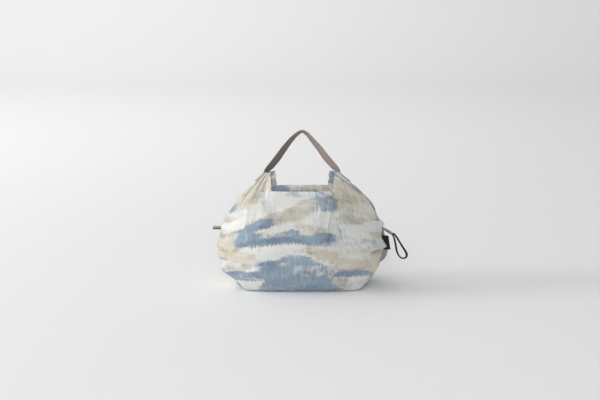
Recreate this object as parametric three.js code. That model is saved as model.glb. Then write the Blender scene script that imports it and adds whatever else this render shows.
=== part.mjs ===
// A foldable shopping bag of thin printed cloth, standing open on its flat base.
// The bag is one cloth for the front, the base and the back, with a gusset at each side.
// Halfway up each side the cloth's edges are bound in a narrow cuff that holds a pull tab,
// and the top corners are gathered into two horns that carry one webbing handle.
// Millimetres, +Z up, the front faces -Y, and the origin is the middle of the base.
import * as THREE from "three";

// Driving sizes of the made-up pieces.
const CLOTH = 1.5; // thickness of the cloth
const HEM = { extra: 0.7, fadeEnd: 0.9, fade: 0.3 }; // how much thicker the mouth's turned rim is
const SEAM_GAP = 0.4; // between two pieces of cloth that are sewn together
const MITRE_LIMIT = 0.36; // the sharpest a seam's mitre gets, as a cosine
const WEBBING = { width: 25, thick: 1.6, lift: 0.9 }; // the handle, sewn this far off the cloth
const BAND_EASE = 0.28; // how far a band's long edges are eased, as a share of its thickness
const TAB = { width: 20, thick: 1.3 }; // the pull tabs, folded double
const ELASTIC = { width: 6.5, thick: 1.3 };
const LABEL = { width: 17.8, thick: 1.3 };

const COLOURS = {
  cloth: 0xc9c6b8,
  gusset: 0x8fa3b8,
  webbing: 0x8a7468,
  tab: 0x9a8173,
  elastic: 0x24211f,
  label: 0x17171a,
};

// The bag's widths, a row for each level. side is the height at the side edges and middle is the
// same row's height at the middle of the panels, which is lower where the mouth dips. The rest
// are the half widths to the four upright edges.
const WIDTHS = [
  { side: 0, middle: 0, frontLeft: 136, frontRight: 134, backLeft: 136, backRight: 136 },
  { side: 1, middle: 0.5, frontLeft: 140, frontRight: 138, backLeft: 140, backRight: 140 },
  { side: 4, middle: 3.5, frontLeft: 146, frontRight: 145, backLeft: 147, backRight: 147 },
  { side: 12, middle: 11, frontLeft: 155, frontRight: 152, backLeft: 159, backRight: 159 },
  { side: 25, middle: 23.5, frontLeft: 167, frontRight: 161, backLeft: 174, backRight: 173 },
  { side: 38, middle: 36, frontLeft: 186, frontRight: 172, backLeft: 191, backRight: 190 },
  { side: 52, middle: 49, frontLeft: 207, frontRight: 188, backLeft: 206, backRight: 206 },
  { side: 66, middle: 62, frontLeft: 215, frontRight: 198, backLeft: 213, backRight: 215 },
  { side: 84, middle: 79, frontLeft: 218, frontRight: 203, backLeft: 216, backRight: 221 },
  { side: 102, middle: 95.5, frontLeft: 220, frontRight: 207, backLeft: 218, backRight: 223 },
  { side: 107, middle: 100, frontLeft: 225, frontRight: 221, backLeft: 223, backRight: 222 },
  { side: 122, middle: 113.5, frontLeft: 220, frontRight: 215, backLeft: 218, backRight: 219 },
  { side: 142, middle: 131, frontLeft: 215, frontRight: 209.5, backLeft: 213, backRight: 213.5 },
  { side: 158, middle: 145, frontLeft: 212, frontRight: 208.5, backLeft: 210, backRight: 210 },
  { side: 167, middle: 153, frontLeft: 210.5, frontRight: 213, backLeft: 208, backRight: 206 },
  { side: 180, middle: 164.5, frontLeft: 205, frontRight: 199, backLeft: 202, backRight: 198 },
  { side: 196, middle: 178.5, frontLeft: 195, frontRight: 191, backLeft: 192, backRight: 190 },
  { side: 214, middle: 194, frontLeft: 180.5, frontRight: 181, backLeft: 178, backRight: 179 },
  { side: 232, middle: 209, frontLeft: 168, frontRight: 170.5, backLeft: 164, backRight: 166 },
  { side: 250, middle: 224, frontLeft: 153, frontRight: 155, backLeft: 147, backRight: 148 },
  { side: 268, middle: 238, frontLeft: 135, frontRight: 136, backLeft: 126, backRight: 127 },
  { side: 286, middle: 250.5, frontLeft: 116, frontRight: 116, backLeft: 102, backRight: 102 },
  { side: 304, middle: 261, frontLeft: 98, frontRight: 96, backLeft: 83, backRight: 82 },
];

// Its depths at the same levels: the side edges' at the front and the back, then the panels' at
// their middle. recess is how far the gusset folds in, or bulges out where it is below 0, and
// square is how boxy the section is.
const DEPTHS = [
  { side: 0, endFront: 50, endBack: 50, front: 53, back: 53, recess: -10, square: 8 },
  { side: 1, endFront: 54, endBack: 54, front: 59, back: 59, recess: -13, square: 7.5 },
  { side: 4, endFront: 57, endBack: 57, front: 65, back: 65, recess: -16, square: 6.5 },
  { side: 12, endFront: 58, endBack: 58, front: 72, back: 71, recess: -19, square: 5 },
  { side: 25, endFront: 57, endBack: 57, front: 79, back: 78, recess: -17, square: 4.2 },
  { side: 38, endFront: 54, endBack: 54, front: 84, back: 83, recess: -7, square: 3.7 },
  { side: 52, endFront: 49, endBack: 49, front: 87.5, back: 86, recess: 9, square: 3.3 },
  { side: 66, endFront: 43, endBack: 43, front: 90, back: 88, recess: 21, square: 3 },
  { side: 84, endFront: 34, endBack: 34, front: 91.2, back: 91.4, recess: 26, square: 2.7 },
  { side: 102, endFront: 22, endBack: 22, front: 92.1, back: 92.3, recess: 25, square: 2.5 },
  { side: 107, endFront: 10, endBack: 10, front: 92.3, back: 92.4, recess: 20, square: 2.45 },
  { side: 122, endFront: 7.5, endBack: 7.5, front: 92.5, back: 92.5, recess: 17, square: 2.4 },
  { side: 142, endFront: 7, endBack: 7, front: 92.1, back: 92, recess: 16, square: 2.35 },
  { side: 158, endFront: 7.5, endBack: 7.5, front: 90.8, back: 90.5, recess: 14, square: 2.35 },
  { side: 167, endFront: 9, endBack: 9, front: 90, back: 87.5, recess: 11, square: 2.35 },
  { side: 180, endFront: 12, endBack: 12, front: 87, back: 85, recess: 5, square: 2.4 },
  { side: 196, endFront: 16, endBack: 16, front: 82, back: 80, recess: -1, square: 2.45 },
  { side: 214, endFront: 18, endBack: 18, front: 75, back: 73, recess: -4, square: 2.6 },
  { side: 232, endFront: 18, endBack: 18, front: 66.5, back: 65, recess: -4, square: 2.9 },
  { side: 250, endFront: 16, endBack: 17, front: 57.5, back: 56, recess: -3, square: 3.6 },
  { side: 268, endFront: 12, endBack: 14, front: 49.5, back: 48.5, recess: -2, square: 4.8 },
  { side: 286, endFront: 10.5, endBack: 13, front: 44, back: 43, recess: -1, square: 6.5 },
  { side: 304, endFront: 9.5, endBack: 11, front: 41, back: 40.5, recess: 0, square: 8 },
];

// How the cloth's width, measured from its middle as a share of half its width, is spread
// over the rim's half width: the dipped mouth, the rise to the horn, then the gathers.
const MOUTH_END = 0.36;
const HORN_START = 0.58;
const RIM_SPREAD = [
  { cloth: 0, rim: 0 },
  { cloth: MOUTH_END, rim: 0.8 },
  { cloth: HORN_START, rim: 0.865 },
  { cloth: 1, rim: 1 },
];
// How far a level's cloth is already drawn in as the rim is, and how deep the section is
// beside the horn as a share of its depth at the middle.
const GATHER = [
  { side: 0, drawn: 0, hornDepth: 1 },
  { side: 180, drawn: 0, hornDepth: 1 },
  { side: 214, drawn: 0.1, hornDepth: 0.97 },
  { side: 250, drawn: 0.38, hornDepth: 0.74 },
  { side: 286, drawn: 0.84, hornDepth: 0.43 },
  { side: 304, drawn: 1, hornDepth: 0.36 },
];

// Upright tucks in the front cloth that run down from the gathers. The cloth dips at the left
// of the line and stands proud at its right. cloth is the line's place across the cloth.
const TUCKS = [
  { cloth: -0.68, bottom: 125, full: 200, top: 304, depth: 5.5, width: 0.055 },
  { cloth: 0.37, bottom: 70, full: 190, top: 304, depth: 6, width: 0.06 },
];

// Soft troughs and ridges, from one place on the cloth to another. across is a share of half
// the cloth's width, up is the side height, rise is how far it stands proud or sinks below 0.
const FRONT_FOLDS = [
  { across: 0.98, up: 158, toAcross: 0.55, toUp: 205, wide: 11, rise: -4.5 },
  { across: 0.97, up: 145, toAcross: 0.45, toUp: 160, wide: 12, rise: 3 },
  { across: 0.97, up: 128, toAcross: 0.55, toUp: 100, wide: 11, rise: -4.5 },
  { across: 0.9, up: 60, toAcross: 0.45, toUp: 25, wide: 13, rise: -3.5 },
  { across: -0.98, up: 160, toAcross: -0.74, toUp: 196, wide: 11, rise: -3.5 },
  { across: -0.97, up: 132, toAcross: -0.5, toUp: 118, wide: 12, rise: 3 },
  { across: -0.97, up: 108, toAcross: -0.55, toUp: 82, wide: 11, rise: -5 },
  { across: -0.88, up: 58, toAcross: -0.5, toUp: 22, wide: 12, rise: -4 },
  { across: -0.3, up: 6, toAcross: -0.62, toUp: 16, wide: 9, rise: 3 },
  { across: 0.05, up: 8, toAcross: 0.5, toUp: 20, wide: 11, rise: -3 },
  { across: -0.86, up: 300, toAcross: -0.9, toUp: 215, wide: 8, rise: -3 },
  { across: 0.84, up: 300, toAcross: 0.78, toUp: 200, wide: 9, rise: -3.5 },
  { across: 0.66, up: 300, toAcross: 0.6, toUp: 215, wide: 8, rise: 2.5 },
];
const BACK_FOLDS = [
  { across: 0.97, up: 160, toAcross: 0.5, toUp: 210, wide: 12, rise: -4.5 },
  { across: 0.97, up: 122, toAcross: 0.5, toUp: 92, wide: 11, rise: -4.5 },
  { across: -0.97, up: 158, toAcross: -0.55, toUp: 200, wide: 11, rise: -5 },
  { across: -0.97, up: 125, toAcross: -0.45, toUp: 105, wide: 12, rise: -4 },
  { across: -0.2, up: 250, toAcross: -0.35, toUp: 150, wide: 14, rise: -3 },
  { across: 0.4, up: 280, toAcross: 0.5, toUp: 180, wide: 11, rise: -4 },
  { across: -0.5, up: 285, toAcross: -0.6, toUp: 190, wide: 10, rise: -4 },
  { across: 0.85, up: 55, toAcross: 0.4, toUp: 20, wide: 12, rise: -3.5 },
];
const HALF_CLOTH = 215; // half the cloth's width, which turns a share across it into millimetres
const FOLD_END = 0.25; // what is left of a fold's rise at its far end
// Folds fade out over this share of the cloth beside a seam and over this height at the floor,
// and keep this share of their rise where the horns' gathers squeeze the cloth.
const FOLD_FADE = { seam: 0.12, floor: 12, horn: 0.1 };
const TUCK_FADE = { top: 0.4, steep: 4, tail: 0.8 };

// The handle's centre line from its right end to its left end. turn is how far the webbing
// turns from lying front to back, in degrees, so that its inner face shows from the front.
const HANDLE = [
  { x: 90.5, y: 2.5, z: 308, turn: 34 },
  { x: 83, y: 1.5, z: 316, turn: 45 },
  { x: 63, y: -1, z: 339, turn: 48 },
  { x: 43, y: -1, z: 366, turn: 42 },
  { x: 24, y: -1, z: 389, turn: 34 },
  { x: 13, y: -1, z: 401.5, turn: 28 },
  { x: 0, y: -1, z: 410, turn: 25 },
  { x: -14, y: -1, z: 403, turn: 28 },
  { x: -31, y: -1, z: 386, turn: 35 },
  { x: -50, y: -1, z: 361, turn: 43 },
  { x: -67, y: -1, z: 337, turn: 48 },
  { x: -84, y: 1.5, z: 316, turn: 45 },
  { x: -91.5, y: 2.5, z: 308, turn: 34 },
];
const HANDLE_SEWN = [{ side: 280 }, { side: 288 }, { side: 296 }]; // its ends lie on the gussets

const LEFT_TAB = { x: -213.3, z: 155, length: 20.7, droop: -2, gap: 2.4 };
const RIGHT_TAB = { x: 213.15, z: 152, length: 23.8, droop: 31, gap: 1.6 };
// The elastic's centre line, from the tab down round its loop and back to the tab. turn is how
// far the band turns from lying front to back, in degrees.
const ELASTIC_LOOP = [
  { x: 235.5, y: -1, z: 141, turn: 20 },
  { x: 241, y: -2, z: 136.5, turn: 22 },
  { x: 247, y: -3, z: 129, turn: 24 },
  { x: 255.5, y: -4, z: 115, turn: 24 },
  { x: 264, y: -5, z: 101.5, turn: 30 },
  { x: 271.5, y: -5, z: 89, turn: 55 },
  { x: 273.5, y: -4, z: 81, turn: 68 },
  { x: 270, y: -3, z: 74.5, turn: 55 },
  { x: 263, y: -1, z: 72.5, turn: 30 },
  { x: 255, y: 0, z: 77, turn: 25 },
  { x: 248.5, y: 1, z: 88.5, turn: 28 },
  { x: 245, y: 1, z: 104, turn: 32 },
  { x: 242, y: 1, z: 119, turn: 28 },
  { x: 238.5, y: 1, z: 130.5, turn: 22 },
  { x: 234, y: 1, z: 137, turn: 16 },
];
// The label's height, its place front to back, and how far its outer edge reaches.
const LABEL_PLACE = { top: 135, bottom: 97, y: -3.5, outAtTop: 224.5, outAtBottom: 230.5 };

// How finely the cloth is divided.
const ACROSS = [
  0, 0.075, 0.15, 0.22, 0.285, 0.335, 0.36, 0.385, 0.43, 0.48, 0.53, 0.58, 0.63, 0.665, 0.695,
  0.75, 0.81, 0.87, 0.94, 1,
];
const ROWS = WIDTHS.map((row) => row.side);
const GUSSET_ACROSS = [-1, -0.6, -0.3, 0, 0.3, 0.6, 1];

const v3 = (x, y, z) => new THREE.Vector3(x, y, z);
const mix = (a, b, t) => a + (b - a) * t;
const clamp = (t) => Math.min(1, Math.max(0, t));
const smooth = (t) => clamp(t) ** 2 * (3 - 2 * clamp(t));

// A smooth curve through a table's named columns that never overshoots its points.
function curveThrough(rows, key, value) {
  const x = rows.map((row) => row[key]);
  const y = rows.map((row) => row[value]);
  const slope = x.slice(1).map((right, i) => (y[i + 1] - y[i]) / (right - x[i]));
  const tangent = x.map((_, i) => {
    const before = slope[i - 1] ?? slope[0];
    const after = slope[i] ?? slope[slope.length - 1];
    return before * after <= 0 ? 0 : (2 * before * after) / (before + after);
  });
  return (at) => {
    let i = 0;
    while (i < x.length - 2 && at > x[i + 1]) i += 1;
    const step = x[i + 1] - x[i];
    const t = clamp((at - x[i]) / step);
    const start = (1 + 2 * t) * (1 - t) ** 2 * y[i] + t * (1 - t) ** 2 * step * tangent[i];
    return start + t * t * (3 - 2 * t) * y[i + 1] + t * t * (t - 1) * step * tangent[i + 1];
  };
}

const curvesOf = (table) =>
  Object.keys(table[0]).map((name) => [name, curveThrough(table, "side", name)]);
const level = Object.fromEntries([...curvesOf(WIDTHS), ...curvesOf(DEPTHS)]);
const drawn = curveThrough(GATHER, "side", "drawn");
const hornDepth = curveThrough(GATHER, "side", "hornDepth");

// Where a point of the cloth lies across the rim, which is straight between the table's rows.
function rimSpread(share) {
  const i = RIM_SPREAD.findIndex((row, k) => k > 0 && share <= row.cloth + 1e-9);
  const [a, b] = [RIM_SPREAD[i - 1], RIM_SPREAD[i]];
  return mix(a.rim, b.rim, (share - a.cloth) / (b.cloth - a.cloth));
}

// How far a tuck stands proud at one place of the cloth.
function tuckRise(tuck, across, up) {
  const t = (across - tuck.cloth) / tuck.width;
  const strength = smooth((up - tuck.bottom) / (tuck.full - tuck.bottom));
  const fade = mix(1, TUCK_FADE.top, smooth((up - tuck.full) / (tuck.top - tuck.full)));
  const step = Math.tanh(TUCK_FADE.steep * t) * Math.exp(-TUCK_FADE.tail * t * t);
  return tuck.depth * strength * fade * step;
}

// How far a soft fold stands proud at one place of the cloth.
function foldRise(fold, across, up) {
  const ax = fold.across * HALF_CLOTH;
  const dx = fold.toAcross * HALF_CLOTH - ax;
  const dy = fold.toUp - fold.up;
  const px = across * HALF_CLOTH - ax;
  const py = up - fold.up;
  const along = clamp((px * dx + py * dy) / (dx * dx + dy * dy));
  const away = Math.hypot(px - along * dx, py - along * dy) / fold.wide;
  return fold.rise * mix(1, FOLD_END, along) * Math.exp(-away * away);
}

// A point of the front (face -1) or the back (face 1). across runs from -1 at the left edge
// to 1 at the right edge, and up is the height at the side edge.
function panelPoint(face, across, up) {
  const share = Math.abs(across);
  const side = across < 0 ? "Left" : "Right";
  const front = face < 0;
  const halfWidth = level[(front ? "front" : "back") + side](up);
  const end = level[front ? "endFront" : "endBack"](up);
  const spread = mix(share, rimSpread(share), drawn(up));
  const rise = smooth((share - MOUTH_END) / (HORN_START - MOUTH_END));
  const middleDepth = level[front ? "front" : "back"](up);
  const depth = middleDepth * mix(1, hornDepth(up), rise);
  const bulge = 1 - spread ** level.square(up);
  let out = end + (depth - end) * bulge;
  const edgeFade = smooth((1 - share) / FOLD_FADE.seam) * smooth(up / FOLD_FADE.floor);
  const foldShare = edgeFade * mix(1, FOLD_FADE.horn, drawn(up) * rise);
  if (front) out += TUCKS.reduce((sum, tuck) => sum + tuckRise(tuck, across, up), 0) * foldShare;
  const folds = front ? FRONT_FOLDS : BACK_FOLDS;
  out += folds.reduce((sum, fold) => sum + foldRise(fold, across, up), 0) * foldShare;
  const z = mix(level.middle(up), up, rise);
  return v3(Math.sign(across) * halfWidth * spread, face * out, z);
}

// A point of a gusset. t runs from -1 at the front edge to 1 at the back edge.
function gussetPoint(hand, t, up) {
  const side = hand < 0 ? "Left" : "Right";
  const share = (t + 1) / 2;
  const edge = mix(level["front" + side](up), level["back" + side](up), share);
  const fold = level.recess(up);
  const inward = fold > 0 ? fold * (1 - Math.abs(t)) : fold * (1 - t * t);
  const y = mix(-level.endFront(up), level.endBack(up), share);
  return v3(hand * (edge - inward), y, up);
}

// A point of the flat base. t runs from -1 at the front to 1 at the back.
function basePoint(across, t) {
  const p = panelPoint(-1, across, 0).lerp(panelPoint(1, across, 0), (t + 1) / 2);
  p.x -= Math.sign(across) * Math.abs(across) ** 3 * level.recess(0) * (1 - t * t);
  return p;
}

// The outward normals of a grid of points.
function gridNormals(grid) {
  const last = grid.length - 1;
  const end = grid[0].length - 1;
  return grid.map((row, i) =>
    row.map((_, j) => {
      const down = grid[Math.min(i + 1, last)][j].clone().sub(grid[Math.max(i - 1, 0)][j]);
      const right = row[Math.min(j + 1, end)].clone().sub(row[Math.max(j - 1, 0)]);
      return down.cross(right).normalize();
    }),
  );
}

// Moves a seam's point across the mitre towards its neighbour, to leave half of the gap.
function drawBack(point, neighbour, mitre) {
  const step = neighbour.clone().sub(point);
  step.addScaledVector(mitre, -step.dot(mitre) / mitre.lengthSq());
  return point.clone().add(step.setLength(SEAM_GAP / 2));
}

// A closed solid from a grid of outer points: the inner points lie one thickness inside.
function sheetSolid(grid, normals, thickness) {
  const rows = grid.length;
  const columns = grid[0].length;
  const inner = grid.map((row, i) =>
    row.map((p, j) => p.clone().addScaledVector(normals[i][j], -thickness(i, j))),
  );
  const positions = [...grid.flat(), ...inner.flat()].flatMap((p) => p.toArray());
  const outerAt = (i, j) => i * columns + j;
  const innerAt = (i, j) => rows * columns + outerAt(i, j);
  const index = [];
  const quad = (a, b, c, d) => index.push(a, b, c, a, c, d);
  for (let i = 0; i < rows - 1; i += 1) {
    for (let j = 0; j < columns - 1; j += 1) {
      quad(outerAt(i, j), outerAt(i, j + 1), outerAt(i + 1, j + 1), outerAt(i + 1, j));
      quad(innerAt(i, j), innerAt(i + 1, j), innerAt(i + 1, j + 1), innerAt(i, j + 1));
    }
  }
  const edge = [
    ...grid.map((_, i) => [i, 0]).slice(0, -1),
    ...grid[0].map((_, j) => [rows - 1, j]).slice(0, -1),
    ...grid.map((_, i) => [i, columns - 1]).slice(1).toReversed(),
    ...grid[0].map((_, j) => [0, j]).slice(1).toReversed(),
  ];
  // Both pieces at a seam split their edge faces from the higher outer point, or the rearmost
  // one in the level base, so that the faces run along each other.
  const rank = ([i, j]) => grid[i][j].z + 0.05 * grid[i][j].y;
  edge.forEach((a, k) => {
    const b = edge[(k + 1) % edge.length];
    const [outerA, outerB] = [outerAt(...a), outerAt(...b)];
    const [innerA, innerB] = [innerAt(...a), innerAt(...b)];
    if (rank(a) > rank(b)) quad(outerA, outerB, innerB, innerA);
    else quad(outerB, innerB, innerA, outerA);
  });
  return geometryOf(positions, index);
}

// A geometry that faces outwards, from flat lists of coordinates and corners.
function geometryOf(positions, index) {
  let volume = 0;
  const at = (k) => v3(...positions.slice(3 * k, 3 * k + 3));
  for (let k = 0; k < index.length; k += 3) {
    volume += at(index[k]).dot(at(index[k + 1]).cross(at(index[k + 2])));
  }
  const corners = volume > 0 ? index : index.toReversed();
  const geometry = new THREE.BufferGeometry();
  geometry.setAttribute("position", new THREE.Float32BufferAttribute(positions, 3));
  geometry.setIndex(corners);
  geometry.computeVertexNormals();
  return geometry;
}

// A smooth line of evenly spaced stations through a table's points, with the width's direction.
function bandLine(rows, count) {
  const points = rows.map((row) => v3(row.x, row.y, row.z));
  const curve = new THREE.CatmullRomCurve3(points, false, "centripetal");
  return Array.from({ length: count }, (_, k) => {
    const at = k / (count - 1);
    const t = curve.getUtoTmapping(at) * (rows.length - 1);
    const i = Math.min(rows.length - 2, Math.floor(t));
    const turn = THREE.MathUtils.degToRad(mix(rows[i].turn, rows[i + 1].turn, smooth(t - i)));
    const along = curve.getPointAt(at);
    const tangent = curve.getTangentAt(at);
    const flat = v3(0, 1, 0).addScaledVector(tangent, -tangent.y).normalize();
    const across = tangent.clone().cross(flat).normalize();
    const width = flat.multiplyScalar(Math.cos(turn)).addScaledVector(across, Math.sin(turn));
    return { point: along, width, normal: tangent.cross(width).normalize() };
  });
}

// A flat band along its stations, with eased long edges.
function bandSolid(stations, width, thick) {
  const ease = BAND_EASE * thick;
  const section = [
    [-width / 2 + ease, thick / 2],
    [width / 2 - ease, thick / 2],
    [width / 2, 0],
    [width / 2 - ease, -thick / 2],
    [-width / 2 + ease, -thick / 2],
    [-width / 2, 0],
  ];
  const positions = stations.flatMap((station) =>
    section.flatMap(([w, n]) => {
      const corner = station.point.clone().addScaledVector(station.width, w);
      return corner.addScaledVector(station.normal, n).toArray();
    }),
  );
  const sides = section.length;
  const index = [];
  for (let i = 0; i < stations.length - 1; i += 1) {
    for (let k = 0; k < sides; k += 1) {
      const a = i * sides + k;
      const b = i * sides + ((k + 1) % sides);
      index.push(a, b, b + sides, a, b + sides, a + sides);
    }
  }
  const lastRing = (stations.length - 1) * sides;
  for (let k = 1; k < sides - 1; k += 1) {
    index.push(0, k + 1, k);
    index.push(lastRing, lastRing + k, lastRing + k + 1);
  }
  return geometryOf(positions, index);
}

const bag = new THREE.Group();

function addPiece(name, geometry, colour, roughness) {
  const material = new THREE.MeshStandardMaterial({ color: colour, roughness, metalness: 0 });
  const mesh = new THREE.Mesh(geometry, material);
  mesh.name = name;
  bag.add(mesh);
  return mesh;
}

// The cloth and the gussets, as grids of outer points that share their seams.
const columns = [...ACROSS.slice(1).toReversed().map((share) => -share), ...ACROSS];
const down = ROWS.toReversed();
const baseRows = GUSSET_ACROSS.slice(1, -1);
const clothGrid = [
  ...down.map((up) => columns.map((across) => panelPoint(-1, across, up))),
  ...baseRows.map((t) => columns.map((across) => basePoint(across, t))),
  ...ROWS.map((up) => columns.map((across) => panelPoint(1, across, up))),
];
const clothNormals = gridNormals(clothGrid);
const gussets = [-1, 1].map((hand) => {
  const across = hand < 0 ? GUSSET_ACROSS.toReversed() : GUSSET_ACROSS;
  const grid = down.map((up) => across.map((t) => gussetPoint(hand, t, up)));
  return { hand, grid, normals: gridNormals(grid) };
});

// Two sewn pieces meet on a mitre, along the mean of their normals at each seam point.
const lastRow = clothGrid.length - 1;
for (const { hand, normals } of gussets) {
  const column = hand < 0 ? 0 : columns.length - 1;
  const toFront = hand < 0 ? GUSSET_ACROSS.length - 1 : 0;
  const toBack = GUSSET_ACROSS.length - 1 - toFront;
  const share = (a, b) => {
    const mitre = a.clone().add(b).normalize();
    mitre.divideScalar(Math.max(MITRE_LIMIT, mitre.dot(a)));
    a.copy(mitre);
    b.copy(mitre);
  };
  down.forEach((_, i) => {
    share(clothNormals[i][column], normals[i][toFront]);
    share(clothNormals[lastRow - i][column], normals[i][toBack]);
  });
  baseRows.forEach((_, k) => {
    const j = hand < 0 ? GUSSET_ACROSS.length - 2 - k : k + 1;
    share(clothNormals[down.length + k][column], normals[down.length - 1][j]);
  });
}

// The mouth's turned hem is thicker than the cloth below it, and thins out at the horns.
function clothThickness(i, j) {
  const atRim = Math.min(i, lastRow - i) === 0;
  return CLOTH + (atRim ? HEM.extra * smooth((HEM.fadeEnd - Math.abs(columns[j])) / HEM.fade) : 0);
}

const edge = columns.length - 1;
const sewnCloth = clothGrid.map((row, i) =>
  row.map((p, j) => {
    if (j === 0) return drawBack(p, row[1], clothNormals[i][j]);
    return j === edge ? drawBack(p, row[edge - 1], clothNormals[i][j]) : p;
  }),
);
addPiece("bag_cloth", sheetSolid(sewnCloth, clothNormals, clothThickness), COLOURS.cloth, 0.75);

for (const { hand, grid, normals } of gussets) {
  const bottom = grid.length - 1;
  const end = GUSSET_ACROSS.length - 1;
  const sewn = grid.map((row, i) =>
    row.map((p, j) => {
      const q = i === bottom ? drawBack(p, grid[i - 1][j], normals[i][j]) : p;
      if (j === 0) return drawBack(q, row[1], normals[i][j]);
      return j === end ? drawBack(q, row[end - 1], normals[i][j]) : q;
    }),
  );
  const solid = sheetSolid(sewn, normals, () => CLOTH);
  addPiece(hand < 0 ? "gusset_left" : "gusset_right", solid, COLOURS.gusset, 0.75);
}

// The webbing handle: each end lies flat on the outside of a gusset, under the rim.
function sewnStations(hand) {
  return HANDLE_SEWN.map(({ side }) => {
    const centre = gussetPoint(hand, 0, side);
    const along = gussetPoint(hand, 0, side + 4).sub(gussetPoint(hand, 0, side - 4)).normalize();
    const width = gussetPoint(hand, 1, side).sub(gussetPoint(hand, -1, side));
    width.addScaledVector(along, -width.dot(along)).normalize();
    const out = along.clone().cross(width).multiplyScalar(-hand).normalize();
    return { point: centre.addScaledVector(out, WEBBING.lift + WEBBING.thick / 2), width, along };
  });
}

function handleStations() {
  const free = bandLine(HANDLE, 41);
  const right = sewnStations(1);
  const left = sewnStations(-1).toReversed();
  const asStation = (sewn, direction) => {
    const tangent = sewn.along.clone().multiplyScalar(direction);
    const normal = tangent.cross(sewn.width).normalize();
    return { point: sewn.point, width: sewn.width, normal };
  };
  return [...right.map((s) => asStation(s, 1)), ...free, ...left.map((s) => asStation(s, -1))];
}
const strap = bandSolid(handleStations(), WEBBING.width, WEBBING.thick);
addPiece("handle_strap", strap, COLOURS.webbing, 0.8);

// A pull tab: webbing folded double round its tip, with the two ends sewn in the cuff.
function tabSolid({ x, z, length, droop, gap }) {
  const hand = Math.sign(x);
  const half = gap / 2 + TAB.thick;
  const shape = new THREE.Shape();
  shape.moveTo(0, half);
  shape.lineTo(length - half, half);
  shape.absarc(length - half, 0, half, Math.PI / 2, -Math.PI / 2, true);
  shape.lineTo(0, -half);
  shape.lineTo(0, -gap / 2);
  shape.lineTo(length - half, -gap / 2);
  shape.absarc(length - half, 0, gap / 2, -Math.PI / 2, Math.PI / 2, false);
  shape.lineTo(0, gap / 2);
  shape.closePath();
  const options = { depth: TAB.width, bevelEnabled: false, curveSegments: 6 };
  const geometry = new THREE.ExtrudeGeometry(shape, options);
  geometry.translate(0, 0, -TAB.width / 2);
  geometry.rotateX(Math.PI / 2);
  geometry.rotateY(THREE.MathUtils.degToRad(droop));
  if (hand < 0) geometry.rotateZ(Math.PI);
  geometry.translate(x, 0, z);
  return geometry;
}
addPiece("pull_tab_left", tabSolid(LEFT_TAB), COLOURS.tab, 0.8);
addPiece("pull_tab_right", tabSolid(RIGHT_TAB), COLOURS.tab, 0.8);

// The elastic loop that holds the rolled bag: its two ends are sewn in the right pull tab.
const elastic = bandSolid(bandLine(ELASTIC_LOOP, 49), ELASTIC.width, ELASTIC.thick);
addPiece("elastic_loop", elastic, COLOURS.elastic, 0.7);

// A plain folded label, sewn in the slit of the right cuff.
function labelSolid() {
  const { top, bottom, y, outAtTop, outAtBottom } = LABEL_PLACE;
  const shape = new THREE.Shape([
    new THREE.Vector2(outAtBottom - LABEL.width, bottom),
    new THREE.Vector2(outAtBottom, bottom),
    new THREE.Vector2(outAtTop, top),
    new THREE.Vector2(outAtTop - LABEL.width, top),
  ]);
  const geometry = new THREE.ExtrudeGeometry(shape, { depth: LABEL.thick, bevelEnabled: false });
  geometry.rotateX(Math.PI / 2);
  geometry.translate(0, y + LABEL.thick / 2, 0);
  return geometry;
}
addPiece("label", labelSolid(), COLOURS.label, 0.6);

export default bag;
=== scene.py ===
"""A foldable shopping bag of thin printed cloth, standing open and filled out on a pale floor.

The cloth, the gussets and every band are drawn in millimetres in the CAD frame, with the same
shape tables as the solids, and are scaled to metres when their meshes are made.
"""

import math
from functools import partial

import bmesh
import bpy
import numpy as np
from mathutils import Matrix, Vector


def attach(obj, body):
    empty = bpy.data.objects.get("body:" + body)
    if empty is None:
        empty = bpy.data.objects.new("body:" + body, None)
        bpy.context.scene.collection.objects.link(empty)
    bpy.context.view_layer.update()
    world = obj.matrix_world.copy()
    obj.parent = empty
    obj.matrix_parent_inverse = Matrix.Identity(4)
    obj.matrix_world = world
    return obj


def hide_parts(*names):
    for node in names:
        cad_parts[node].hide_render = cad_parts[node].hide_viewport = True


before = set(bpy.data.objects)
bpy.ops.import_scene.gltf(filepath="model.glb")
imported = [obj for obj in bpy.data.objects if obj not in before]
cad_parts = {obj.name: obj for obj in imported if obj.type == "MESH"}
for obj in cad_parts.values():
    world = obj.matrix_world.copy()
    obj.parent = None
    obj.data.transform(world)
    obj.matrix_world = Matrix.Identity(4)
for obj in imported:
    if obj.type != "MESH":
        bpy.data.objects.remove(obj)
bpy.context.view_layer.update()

MM = 0.001

# Camera and lights

CAMERA = {"lens": 70.0, "distance": 3.03, "elevation": 13.0, "aim": (-0.0065, 0.0, 0.2293)}


def place_camera():
    data = bpy.data.cameras.new("camera")
    data.lens = CAMERA["lens"]
    camera = bpy.data.objects.new("camera", data)
    bpy.context.scene.collection.objects.link(camera)
    tilt = math.radians(CAMERA["elevation"])
    back = Vector((0, -math.cos(tilt), math.sin(tilt)))
    camera.location = Vector(CAMERA["aim"]) + CAMERA["distance"] * back
    camera.rotation_euler = (math.pi / 2 - tilt, 0, 0)
    bpy.context.scene.camera = camera


place_camera()

# The bag's shape, as in the solids

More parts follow.
